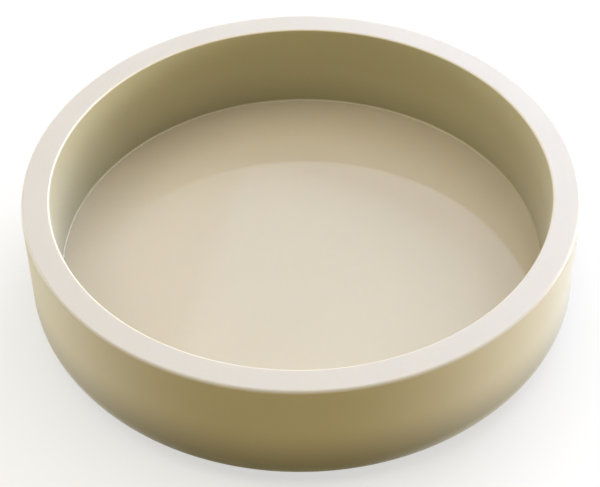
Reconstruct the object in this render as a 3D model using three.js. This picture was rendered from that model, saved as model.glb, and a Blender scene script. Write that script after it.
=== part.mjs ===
// A round cake mould of thick cast silicone: a drafted ring of wall with a flat rim and softened edges,
// closed below by a thick flat base. Millimetres, +Z up, origin at the centre of the underside.
import * as THREE from "three";

// Driving dimensions
const mouthDiameter = 180; // across the cavity at the rim
const wallThickness = 10; // width of the rim, from the mouth to the outside
const cavityDepth = 35; // from the rim down to the floor
const baseThickness = 13; // silicone under the floor
const insideDraft = 1.5; // degrees that the cavity's wall leans outwards, so that the cake lets go
const mouthRounding = 0.8; // inner edge of the rim
const rimRounding = 1.2; // outer edge of the rim
const cornerRounding = 0.8; // inside corner between wall and floor
const footRounding = 12; // outer edge of the underside

// Fineness of the faceting
const turnSteps = 96; // facets round the axis
const smallArcSteps = 4; // facets along a small rounding
const footArcSteps = 8; // facets along the foot's rounding
const samePlace = 0.01; // points of a section nearer than this are one point

// Places that follow from the driving dimensions
const mouthRadius = mouthDiameter / 2;
const outerRadius = mouthRadius + wallThickness;
const floorHeight = baseThickness;
const rimHeight = floorHeight + cavityDepth;
const floorRadius = mouthRadius - cavityDepth * Math.tan(THREE.MathUtils.degToRad(insideDraft));
const cornerReach = cornerRounding * Math.tan(THREE.MathUtils.degToRad((90 - insideDraft) / 2));
// the base is the disc that is flat on both faces, inside the roundings of the floor and of the foot
const baseRadius = Math.min(floorRadius - cornerReach, outerRadius - footRounding);

const silicone = { color: 0xd8ccb2, roughness: 0.38, metalness: 0 };

// A point of a turned section: its distance from the axis and its height.
function sectionPoint(radius, height) {
  return new THREE.Vector2(radius, height);
}

function arcPoints(centre, radius, startAngle, turn, steps) {
  return Array.from({ length: steps + 1 }, (_, step) => {
    const angle = startAngle + (turn * step) / steps;
    return sectionPoint(centre.x + radius * Math.cos(angle), centre.y + radius * Math.sin(angle));
  });
}

// The arc that rounds a corner of a section, tangent to both of its sides.
function roundedCorner(before, corner, after, rounding, steps) {
  const sideBefore = before.clone().sub(corner).normalize();
  const sideAfter = after.clone().sub(corner).normalize();
  const halfAngle = Math.acos(sideBefore.dot(sideAfter)) / 2;
  const reach = rounding / Math.tan(halfAngle);
  const inwards = sideBefore.clone().add(sideAfter).normalize();
  const centre = corner.clone().addScaledVector(inwards, rounding / Math.sin(halfAngle));
  const start = corner.clone().addScaledVector(sideBefore, reach).sub(centre);
  const end = corner.clone().addScaledVector(sideAfter, reach).sub(centre);
  const turn = Math.atan2(start.cross(end), start.dot(end));
  return arcPoints(centre, rounding, start.angle(), turn, steps);
}

// Turns a section about the mould's axis and stands the result upright.
function turned(name, section) {
  const apart = (point, index) => index === 0 || point.distanceTo(section[index - 1]) > samePlace;
  const geometry = new THREE.LatheGeometry(section.filter(apart), turnSteps).rotateX(Math.PI / 2);
  const piece = new THREE.Mesh(geometry, new THREE.MeshStandardMaterial(silicone));
  piece.name = name;
  return piece;
}

// The ring of wall. Its section runs up the outside, over the rim and down into the cavity.
function sideWall() {
  const undersideSeam = sectionPoint(baseRadius, 0);
  const foot = sectionPoint(outerRadius, 0);
  const rimEdge = sectionPoint(outerRadius, rimHeight);
  const mouthEdge = sectionPoint(mouthRadius, rimHeight);
  const insideCorner = sectionPoint(floorRadius, floorHeight);
  const floorSeam = sectionPoint(baseRadius, floorHeight);
  return turned("side_wall", [
    undersideSeam,
    ...roundedCorner(undersideSeam, foot, rimEdge, footRounding, footArcSteps),
    ...roundedCorner(foot, rimEdge, mouthEdge, rimRounding, smallArcSteps),
    ...roundedCorner(rimEdge, mouthEdge, insideCorner, mouthRounding, smallArcSteps),
    ...roundedCorner(mouthEdge, insideCorner, floorSeam, cornerRounding, smallArcSteps),
    floorSeam,
    undersideSeam,
  ]);
}

// The disc that closes the ring: the cavity's floor above, the face that the mould stands on below.
function base() {
  return turned("base", [
    sectionPoint(0, 0),
    sectionPoint(baseRadius, 0),
    sectionPoint(baseRadius, floorHeight),
    sectionPoint(0, floorHeight),
  ]);
}

const mould = new THREE.Group();
mould.name = "silicone_cake_mould";
mould.add(sideWall(), base());

export default mould;
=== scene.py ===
import math

import bmesh
import bpy
from mathutils import Matrix, Vector, noise


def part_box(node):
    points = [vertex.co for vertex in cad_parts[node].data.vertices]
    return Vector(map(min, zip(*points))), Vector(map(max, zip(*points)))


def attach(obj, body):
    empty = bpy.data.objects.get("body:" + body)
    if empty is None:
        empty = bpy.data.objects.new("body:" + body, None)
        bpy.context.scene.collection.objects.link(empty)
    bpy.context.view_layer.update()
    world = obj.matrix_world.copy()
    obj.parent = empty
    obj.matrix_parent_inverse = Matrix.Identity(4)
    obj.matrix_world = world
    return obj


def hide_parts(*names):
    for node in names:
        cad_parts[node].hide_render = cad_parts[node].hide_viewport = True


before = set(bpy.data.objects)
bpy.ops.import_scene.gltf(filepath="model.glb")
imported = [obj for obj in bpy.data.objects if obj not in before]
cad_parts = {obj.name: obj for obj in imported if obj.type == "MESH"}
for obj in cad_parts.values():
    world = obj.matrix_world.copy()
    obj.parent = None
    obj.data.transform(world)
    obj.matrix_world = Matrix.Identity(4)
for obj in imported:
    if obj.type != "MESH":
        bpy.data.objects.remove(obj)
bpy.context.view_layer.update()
wallLow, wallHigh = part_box("side_wall")
baseLow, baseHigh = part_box("base")
outerRadius = wallHigh.x
rimHeight = wallHigh.z - wallLow.z
floorHeight = baseHigh.z - baseLow.z
print("frame loaded:", sorted(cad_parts))

# The mould itself, one turned body. Lengths in metres.
mould = {
    "mouthDiameter": 0.180,
    "insideDraft": 1.5,        # degrees
    "mouthRounding": 0.0008,   # inner edge of the rim
    "rimRounding": 0.0012,     # outer edge of the rim
    "cornerRounding": 0.0008,  # between wall and floor
    "footRounding": 0.012,
    "turnSteps": 320,          # facets round the axis
    "footSteps": 24,           # facets along the roundings
    "edgeSteps": 10,
    "cornerSteps": 8,
    "undersideSteps": 10,      # facets along the straight stretches
    "wallSteps": 8,
    "rimSteps": 5,
    "floorSteps": 14,
    "rimFrom": 3,              # point of the outer edge where the rim's finish starts
    "mouthFrom": 2,            # points of the inner edge where the mouth's finish starts and ends
    "mouthTo": 8,
    "waveHeight": 0.00006,     # slow unevenness of the casting
    "waveLength": 0.045,
    "waveSideways": 0.5,       # outward share of it, where the upward one is 1
}


def sectionArc(corner, before, after, radius, steps):
    # points of an arc that rounds a corner and is tangent to both of its sides
    sideBefore = (before - corner).normalized()
    sideAfter = (after - corner).normalized()
    half = sideBefore.angle(sideAfter) / 2
    centre = corner + (sideBefore + sideAfter).normalized() * (radius / math.sin(half))
    start = corner + sideBefore * (radius / math.tan(half)) - centre
    turn = math.pi - 2 * half
    if start.x * sideAfter.y - start.y * sideAfter.x < 0:
        turn = -turn
    first = math.atan2(start.y, start.x)
    angles = [first + turn * step / steps for step in range(steps + 1)]
    return [centre + Vector((math.cos(angle), math.sin(angle))) * radius for angle in angles]


def sectionLine(start, end, steps):
    # evenly spaced points between two ends, without the ends
    return [start.lerp(end, step / steps) for step in range(1, steps)]


def mouldSection():
    # stretches of the section as (finish, points), from the underside's centre round to the floor's centre
    mouthRadius = mould["mouthDiameter"] / 2
    draft = math.tan(math.radians(mould["insideDraft"]))
    floorRadius = mouthRadius - (rimHeight - floorHeight) * draft
    undersideCentre = Vector((0, 0))
    foot = Vector((outerRadius, 0))
    rimEdge = Vector((outerRadius, rimHeight))
    mouthEdge = Vector((mouthRadius, rimHeight))
    insideCorner = Vector((floorRadius, floorHeight))
    floorCentre = Vector((0, floorHeight))

    edgeSteps = mould["edgeSteps"]
    cornerSteps = mould["cornerSteps"]
    footArc = sectionArc(foot, undersideCentre, rimEdge, mould["footRounding"], mould["footSteps"])
    rimArc = sectionArc(rimEdge, foot, mouthEdge, mould["rimRounding"], edgeSteps)
    mouthArc = sectionArc(mouthEdge, rimEdge, insideCorner, mould["mouthRounding"], edgeSteps)
    cornerArc = sectionArc(insideCorner, mouthEdge, floorCentre, mould["cornerRounding"], cornerSteps)
    underside = sectionLine(undersideCentre, footArc[0], mould["undersideSteps"])
    outsideWall = sectionLine(footArc[-1], rimArc[0], mould["wallSteps"])
    rimTop = sectionLine(rimArc[-1], mouthArc[0], mould["rimSteps"])
    insideWall = sectionLine(mouthArc[-1], cornerArc[0], mould["wallSteps"])
    cavityFloor = sectionLine(cornerArc[-1], floorCentre, mould["floorSteps"])

    rimFrom = mould["rimFrom"]
    mouthFrom = mould["mouthFrom"]
    mouthTo = mould["mouthTo"]
    return [
        ("outside", [undersideCentre] + underside + footArc + outsideWall + rimArc[:rimFrom]),
        ("rim", rimArc[rimFrom:] + rimTop + mouthArc[:mouthFrom]),
        ("mouthEdge", mouthArc[mouthFrom:mouthTo]),
        ("cavity", mouthArc[mouthTo:] + insideWall + cornerArc[:1]),
        ("corner", cornerArc[1:]),
        ("floor", cavityFloor + [floorCentre]),
    ]


def turnSection(body, finishNames):
    # a ring of vertices for each point of the section, or one vertex where the point is on the axis
    steps = mould["turnSteps"]
    turns = [2 * math.pi * step / steps for step in range(steps)]
    rings = []
    ringFinish = []
    for finish, points in mouldSection():
        for point in points:
            around = turns if point.x > 0 else turns[:1]
            places = [(point.x * math.cos(turn), point.x * math.sin(turn), point.y) for turn in around]
            rings.append([body.verts.new(place) for place in places])
            ringFinish.append(finish)
    # faces between each ring and the next, in the finish of the next
    for ring, nextRing, finish in zip(rings, rings[1:], ringFinish[1:]):
        for step in range(steps):
            nextStep = (step + 1) % steps
            if len(ring) == 1:
                corners = [ring[0], nextRing[nextStep], nextRing[step]]
            elif len(nextRing) == 1:
                corners = [ring[step], ring[nextStep], nextRing[0]]
            else:
                corners = [ring[step], ring[nextStep], nextRing[nextStep], nextRing[step]]
            face = body.faces.new(corners)
            face.smooth = True
            face.material_index = finishNames.index(finish)


def buildMould(finishes):
    mesh = bpy.data.meshes.new("cakeMould")
    body = bmesh.new()
    turnSection(body, list(finishes))
    # a casting is never quite true: a slow wave in the free faces, none where it stands
    for vert in body.verts:
        lift = min(1.0, max(0.0, vert.co.z / floorHeight))
        wave = noise.noise(vert.co / mould["waveLength"]) * mould["waveHeight"] * lift
        outwards = Vector((vert.co.x, vert.co.y, 0)).normalized()
        vert.co += outwards * wave * mould["waveSideways"]
        vert.co.z += wave
    body.normal_update()
    body.to_mesh(mesh)
    body.free()
    for material in finishes.values():
        mesh.materials.append(material)
    piece = bpy.data.objects.new("cakeMould", mesh)
    bpy.context.scene.collection.objects.link(piece)
    even = piece.modifiers.new("even shading", "WEIGHTED_NORMAL")
    even.keep_sharp = True
    return piece


# Shader groups shared by the mould's finishes
noiseMiddle = 0.5  # the level that Blender's noise swings about


def newGroup(name, inputs, outputs):
    group = bpy.data.node_groups.new(name, "ShaderNodeTree")
    for label, kind, value in inputs:
        socket = group.interface.new_socket(name=label, in_out="INPUT", socket_type=kind)
        socket.default_value = value
    for label, kind in outputs:
        group.interface.new_socket(name=label, in_out="OUTPUT", socket_type=kind)
    return group, group.nodes.new("NodeGroupInput"), group.nodes.new("NodeGroupOutput")


def addNode(tree, kind, inputs=None, **settings):
    # a node with its settings, and its inputs linked or set by name or number
    node = tree.nodes.new(kind)
    for key, value in settings.items():
        setattr(node, key, value)
    for key, value in (inputs or {}).items():
        socket = node.inputs[key]
        if isinstance(value, bpy.types.NodeSocket):
            tree.links.new(value, socket)
        else:
            socket.default_value = value
    return node


def mathResult(tree, operation, first, second):
    return addNode(tree, "ShaderNodeMath", {0: first, 1: second}, operation=operation).outputs[0]


def noiseLevel(tree, scale, detail, roughness=0.5):
    # noise that keeps its place on the piece
    place = addNode(tree, "ShaderNodeTexCoord").outputs["Object"]
    return addNode(tree, "ShaderNodeTexNoise", {
        "Vector": place, "Scale": scale, "Detail": detail, "Roughness": roughness}).outputs["Fac"]


def cloudsAndPaintedShadeGroup():
    # slow clouds and fine specks of pigment in a cast material, with a darker colour low down that is
    # painted shade
    group, given, made = newGroup(
        "cloudsAndPaintedShade",
        [("Color", "NodeSocketColor", (1, 1, 1, 1)), ("Painted Shade Color", "NodeSocketColor", (1, 1, 1, 1)),
         ("Low End", "NodeSocketFloat", 0.005), ("High End", "NodeSocketFloat", 0.03),
         ("Cloud Scale", "NodeSocketFloat", 40.0), ("Cloud Amount", "NodeSocketFloat", 0.05),
         ("Speck Scale", "NodeSocketFloat", 1800.0), ("Speck Amount", "NodeSocketFloat", 0.03)],
        [("Color", "NodeSocketColor")])
    cloud = noiseLevel(group, given.outputs["Cloud Scale"], detail=3.0, roughness=0.55)
    speck = noiseLevel(group, given.outputs["Speck Scale"], detail=1.0)
    cloudShift = mathResult(group, "SUBTRACT", cloud, noiseMiddle)
    cloudGain = mathResult(group, "MULTIPLY", cloudShift, given.outputs["Cloud Amount"])
    speckShift = mathResult(group, "SUBTRACT", speck, noiseMiddle)
    speckGain = mathResult(group, "MULTIPLY", speckShift, given.outputs["Speck Amount"])
    bothGains = mathResult(group, "ADD", cloudGain, speckGain)
    gain = mathResult(group, "ADD", bothGains, 1.0)

    # painted shade: the colour darkens towards the bottom, where shade falls near the table and the cavity
    # floor
    place = addNode(group, "ShaderNodeTexCoord").outputs["Object"]
    height = addNode(group, "ShaderNodeSeparateXYZ", {"Vector": place}).outputs["Z"]
    upperShare = addNode(group, "ShaderNodeMapRange", interpolation_type="SMOOTHSTEP", inputs={
        "Value": height,
        "From Min": given.outputs["Low End"], "From Max": given.outputs["High End"]}).outputs[0]
    # inputs 6 and 7 and output 2 of a Mix node are its colours
    byHeight = addNode(group, "ShaderNodeMix", data_type="RGBA", inputs={
        0: upperShare, 6: given.outputs["Painted Shade Color"], 7: given.outputs["Color"]}).outputs[2]
    tinted = addNode(group, "ShaderNodeVectorMath", {0: byHeight, "Scale": gain}, operation="SCALE")
    group.links.new(tinted.outputs["Vector"], made.inputs["Color"])
    return group


def castSkinGroup():
    # the skin that a tool leaves on silicone: fine grain over slow ripples, and gloss that follows them
    group, given, made = newGroup(
        "castSkin",
        [("Roughness", "NodeSocketFloat", 0.3), ("Roughness Spread", "NodeSocketFloat", 0.05),
         ("Polish", "NodeSocketFloat", 0.5), ("Polish Spread", "NodeSocketFloat", 0.1),
         ("Grain Scale", "NodeSocketFloat", 1500.0), ("Ripple Scale", "NodeSocketFloat", 120.0),
         ("Ripple Share", "NodeSocketFloat", 0.5)],
        [("Roughness", "NodeSocketFloat"), ("Polish", "NodeSocketFloat"), ("Height", "NodeSocketFloat")])
    grain = noiseLevel(group, given.outputs["Grain Scale"], detail=2.0)
    ripple = noiseLevel(group, given.outputs["Ripple Scale"], detail=2.0)
    height = addNode(group, "ShaderNodeMix", data_type="FLOAT", inputs={
        "Factor": given.outputs["Ripple Share"], "A": grain, "B": ripple})
    shift = mathResult(group, "SUBTRACT", ripple, noiseMiddle)
    roughShift = mathResult(group, "MULTIPLY", shift, given.outputs["Roughness Spread"])
    polishShift = mathResult(group, "MULTIPLY", shift, given.outputs["Polish Spread"])
    rough = mathResult(group, "ADD", given.outputs["Roughness"], roughShift)
    polish = mathResult(group, "SUBTRACT", given.outputs["Polish"], polishShift)
    group.links.new(rough, made.inputs["Roughness"])
    group.links.new(polish, made.inputs["Polish"])
    group.links.new(height.outputs["Result"], made.inputs["Height"])
    return group


# The silicone, and how each face of it left the tool. The faces' colours are painted light and shade: lit
# and shaded copies of the one silicone
silicone = {
    "ior": 1.45,
    "scatterWeight": 0.5,
    "scatterRadius": (1.0, 0.75, 0.4),
    "scatterScale": 0.0025,
    "bloomRoughness": 0.5,    # of the pale bloom that silicone shows at a low angle
    "cloudScale": 38.0,
    "cloudAmount": 0.06,
    "speckScale": 1800.0,
    "speckAmount": 0.04,
    "lowEnd": 0.005,          # heights between which the painted shade colour low down turns into the main one
    "highEnd": 0.030,
    "roughnessSpread": 0.06,
    "rippleShare": 0.3,       # of the bump, and the rest is grain
    "bumpHeight": 0.001,
}
# painted light and shade: the rim and floor are paler and greyer as if lit, the cavity walls darker olive
# and the outside yellower as if in shade
skins = {
    "floor": {
        "color": (0.52, 0.448, 0.322, 1.0),
        "roughness": 0.45, "specular": 0.6, "bloom": 0.0,
        "polish": 0.92, "polishSpread": 0.15, "polishRoughness": 0.06,
        "grain": 1500.0, "ripple": 70.0, "bump": 0.02},
    "cavity": {
        # the cavity's low colour is painted shade, darker towards the cavity floor
        "color": (0.46, 0.41, 0.235, 1.0), "paintedShadeColor": (0.36, 0.325, 0.18, 1.0),
        "roughness": 0.50, "specular": 0.35, "bloom": 0.3,
        "polish": 0.4, "polishSpread": 0.15, "polishRoughness": 0.13,
        "grain": 1500.0, "ripple": 70.0, "bump": 0.02},
    "corner": {
        "color": (0.47, 0.41, 0.25, 1.0),
        "roughness": 0.40, "specular": 0.5, "bloom": 0.0,
        "polish": 0.6, "polishSpread": 0.15, "polishRoughness": 0.08,
        "grain": 1500.0, "ripple": 70.0, "bump": 0.02},
    # the mouth edge's paler colour is a painted highlight along the rounded inner edge
    "mouthEdge": {
        "color": (0.65, 0.595, 0.50, 1.0),
        "roughness": 0.45, "specular": 0.5, "bloom": 0.1,
        "polish": 0.3, "polishSpread": 0.15, "polishRoughness": 0.28,
        "grain": 1500.0, "ripple": 90.0, "bump": 0.02},
    "rim": {
        "color": (0.585, 0.54, 0.476, 1.0),
        "roughness": 0.50, "specular": 0.45, "bloom": 0.1,
        "polish": 0.3, "polishSpread": 0.15, "polishRoughness": 0.3,
        "grain": 1500.0, "ripple": 90.0, "bump": 0.04},
    "outside": {
        # the outside's low colour is painted shade, darker towards the foot on the table
        "color": (0.62, 0.53, 0.34, 1.0), "paintedShadeColor": (0.20, 0.165, 0.06, 1.0),
        "roughness": 0.55, "specular": 0.12, "bloom": 1.0,
        "polish": 0.05, "polishSpread": 0.05, "polishRoughness": 0.35,
        "grain": 1300.0, "ripple": 90.0, "bump": 0.05},
}


def siliconeFinish(name, skin, tintGroup, skinGroup):
    material = bpy.data.materials.new("silicone " + name)
    material.use_nodes = True
    tree = material.node_tree
    tree.nodes.clear()
    tint = addNode(tree, "ShaderNodeGroup", node_tree=tintGroup, inputs={
        "Color": skin["color"], "Painted Shade Color": skin.get("paintedShadeColor", skin["color"]),
        "Low End": silicone["lowEnd"], "High End": silicone["highEnd"],
        "Cloud Scale": silicone["cloudScale"], "Cloud Amount": silicone["cloudAmount"],
        "Speck Scale": silicone["speckScale"], "Speck Amount": silicone["speckAmount"]})
    cast = addNode(tree, "ShaderNodeGroup", node_tree=skinGroup, inputs={
        "Roughness": skin["roughness"], "Roughness Spread": silicone["roughnessSpread"],
        "Polish": skin["polish"], "Polish Spread": skin["polishSpread"],
        "Grain Scale": skin["grain"], "Ripple Scale": skin["ripple"],
        "Ripple Share": silicone["rippleShare"]})
    bump = addNode(tree, "ShaderNodeBump", {
        "Strength": skin["bump"], "Distance": silicone["bumpHeight"], "Height": cast.outputs["Height"]})
    shader = addNode(tree, "ShaderNodeBsdfPrincipled", {
        "Base Color": tint.outputs["Color"], "Roughness": cast.outputs["Roughness"],
        "Specular IOR Level": skin["specular"], "IOR": silicone["ior"], "Normal": bump.outputs["Normal"],
        "Coat Weight": cast.outputs["Polish"], "Coat Roughness": skin["polishRoughness"],
        "Subsurface Weight": silicone["scatterWeight"],
        "Subsurface Radius": silicone["scatterRadius"], "Subsurface Scale": silicone["scatterScale"],
        "Sheen Weight": skin["bloom"], "Sheen Roughness": silicone["bloomRoughness"]})
    result = addNode(tree, "ShaderNodeOutputMaterial")
    tree.links.new(shader.outputs["BSDF"], result.inputs["Surface"])
    return material


tintGroup = cloudsAndPaintedShadeGroup()
skinGroup = castSkinGroup()
finishes = {name: siliconeFinish(name, skin, tintGroup, skinGroup) for name, skin in skins.items()}
print("silicone finishes:", list(finishes))

cakeMould = buildMould(finishes)
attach(cakeMould, "root")
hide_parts("side_wall", "base")
print("mould turned:", len(cakeMould.data.polygons), "faces")

# The pale floor that it stands on
studioFloor = {
    "size": 12.0,
    "color": (0.34, 0.29, 0.14, 1.0),        # for the matt light that it throws on the mould
    "shownColor": (0.35, 0.34, 0.325, 1.0),  # for the camera and the gloss
    "shownGlow": 0.6,                        # plain white added for them
}


def directRays(tree):
    # 1 for what the camera sees, plainly or in a gloss or through glass, and 0 for matt light
    seen = addNode(tree, "ShaderNodeLightPath")
    cameraOrGloss = mathResult(
        tree, "MAXIMUM", seen.outputs["Is Camera Ray"], seen.outputs["Is Glossy Ray"])
    return mathResult(tree, "MAXIMUM", cameraOrGloss, seen.outputs["Is Transmission Ray"])


def paleFloorMaterial():
    material = bpy.data.materials.new("pale floor")
    material.use_nodes = True
    tree = material.node_tree
    tree.nodes.clear()
    plain = addNode(tree, "ShaderNodeBsdfDiffuse", {"Color": studioFloor["color"]})
    shown = addNode(tree, "ShaderNodeBsdfDiffuse", {"Color": studioFloor["shownColor"]})
    glow = addNode(tree, "ShaderNodeEmission", {"Strength": studioFloor["shownGlow"]})
    bright = addNode(tree, "ShaderNodeAddShader", {0: shown.outputs[0], 1: glow.outputs[0]})
    pick = addNode(tree, "ShaderNodeMixShader", {
        0: directRays(tree), 1: plain.outputs[0], 2: bright.outputs[0]})
    result = addNode(tree, "ShaderNodeOutputMaterial")
    tree.links.new(pick.outputs[0], result.inputs["Surface"])
    return material


def buildFloor():
    mesh = bpy.data.meshes.new("studioFloor")
    half = studioFloor["size"] / 2
    corners = [(-half, -half, 0), (half, -half, 0), (half, half, 0), (-half, half, 0)]
    mesh.from_pydata(corners, [], [(0, 1, 2, 3)])
    mesh.materials.append(paleFloorMaterial())
    piece = bpy.data.objects.new("studioFloor", mesh)
    bpy.context.scene.collection.objects.link(piece)
    return piece


buildFloor()
print("floor laid")

# Soft studio light: panels above, behind and round the mould, all facing the rim's centre
rimCentre = Vector((0, 0, rimHeight))
panelDistance = 1.5
daylight = (0.63, 0.74, 1.0)
panels = {
    "overheadPanel": {
        "bearing": 90, "rise": 80, "size": (2.4, 1.8), "brightness": 1.8, "color": (1.0, 0.98, 0.94)},
    "backPanel": {
        "bearing": 60, "rise": 46, "size": (1.4, 0.7), "brightness": 1.0, "color": daylight},
    "windowPanel": {
        "bearing": 60, "rise": 26, "size": (1.0, 0.5), "brightness": 11.0, "color": daylight},
    "windowStrip": {
        "bearing": 34, "rise": 26, "size": (0.4, 0.25), "brightness": 9.5, "color": daylight},
    "rightPanel": {
        "bearing": 0, "rise": 42, "size": (1.0, 0.7), "brightness": 1.1, "color": (1.0, 0.9, 0.8)},
    "rightStrip": {
        "bearing": 14, "rise": 4, "size": (0.8, 0.2), "brightness": 31.0, "color": (0.94, 0.95, 1.0)},
    "rightCard": {
        "bearing": -25, "rise": 6, "size": (0.7, 0.3), "brightness": 3.4, "color": (1.0, 0.9, 0.55)},
    "leftPanel": {
        "bearing": 180, "rise": 48, "size": (0.9, 0.7), "brightness": 2.2, "color": (1.0, 0.92, 0.66)},
    "leftStrip": {
        "bearing": 156, "rise": 3, "size": (0.8, 0.2), "brightness": 17.0, "color": (0.97, 0.98, 1.0)},
    "frontCard": {
        "bearing": 262, "rise": 8, "size": (1.2, 0.4), "brightness": 2.4, "color": (1.0, 0.9, 0.46)},
}
surround = {"color": (1.0, 0.95, 0.82, 1.0), "strength": 0.03}


def buildPanel(name, panel):
    lamp = bpy.data.lights.new(name, "AREA")
    lamp.shape = "RECTANGLE"
    lamp.size, lamp.size_y = panel["size"]
    lamp.energy = panel["brightness"] * math.pi * lamp.size * lamp.size_y
    lamp.color = panel["color"]
    piece = bpy.data.objects.new(name, lamp)
    bearing = math.radians(panel["bearing"])  # from +X, with 90 behind the mould
    rise = math.radians(panel["rise"])
    level = Vector((math.cos(bearing), math.sin(bearing), 0)) * math.cos(rise)
    piece.location = rimCentre + (level + Vector((0, 0, math.sin(rise)))) * panelDistance
    piece.rotation_euler = (rimCentre - piece.location).to_track_quat("-Z", "Y").to_euler()
    bpy.context.scene.collection.objects.link(piece)


def buildSurround():
    # white where it is seen, and a faint fill for matt light
    world = bpy.data.worlds.new("studio surround")
    world.use_nodes = True
    tree = world.node_tree
    tree.nodes.clear()
    fill = addNode(tree, "ShaderNodeBackground", {
        "Color": surround["color"], "Strength": surround["strength"]})
    white = addNode(tree, "ShaderNodeBackground", {"Color": (1, 1, 1, 1), "Strength": 1.0})
    pick = addNode(tree, "ShaderNodeMixShader", {
        0: directRays(tree), 1: fill.outputs[0], 2: white.outputs[0]})
    result = addNode(tree, "ShaderNodeOutputWorld")
    tree.links.new(pick.outputs[0], result.inputs["Surface"])
    bpy.context.scene.world = world


for name, panel in panels.items():
    buildPanel(name, panel)
buildSurround()
print("lights placed:", list(panels))

# The camera stands in front and above, as in the photograph
view = {
    "distance": 0.6198,                  # from the rim's centre
    "elevation": 41.96,                  # degrees
    "aim": (-0.0006, -0.0151, -0.0162),  # from the rim's centre
    "roll": -0.89,                       # degrees
    "lens": 103.5,                       # millimetres
    "sensorWidth": 36.0,                 # millimetres
}
camera = bpy.data.cameras.new("photoView")
camera.lens = view["lens"]
camera.sensor_width = view["sensorWidth"]
elevation = math.radians(view["elevation"])
stand = rimCentre + Vector((0, -math.cos(elevation), math.sin(elevation))) * view["distance"]
look = (rimCentre + Vector(view["aim"]) - stand).to_track_quat("-Z", "Y").to_matrix().to_4x4()
roll = Matrix.Rotation(math.radians(view["roll"]), 4, "Z")
cameraPiece = bpy.data.objects.new("photoView", camera)
cameraPiece.matrix_world = Matrix.Translation(stand) @ look @ roll
bpy.context.scene.collection.objects.link(cameraPiece)
bpy.context.scene.camera = cameraPiece
bpy.context.scene.view_settings.view_transform = "Standard"
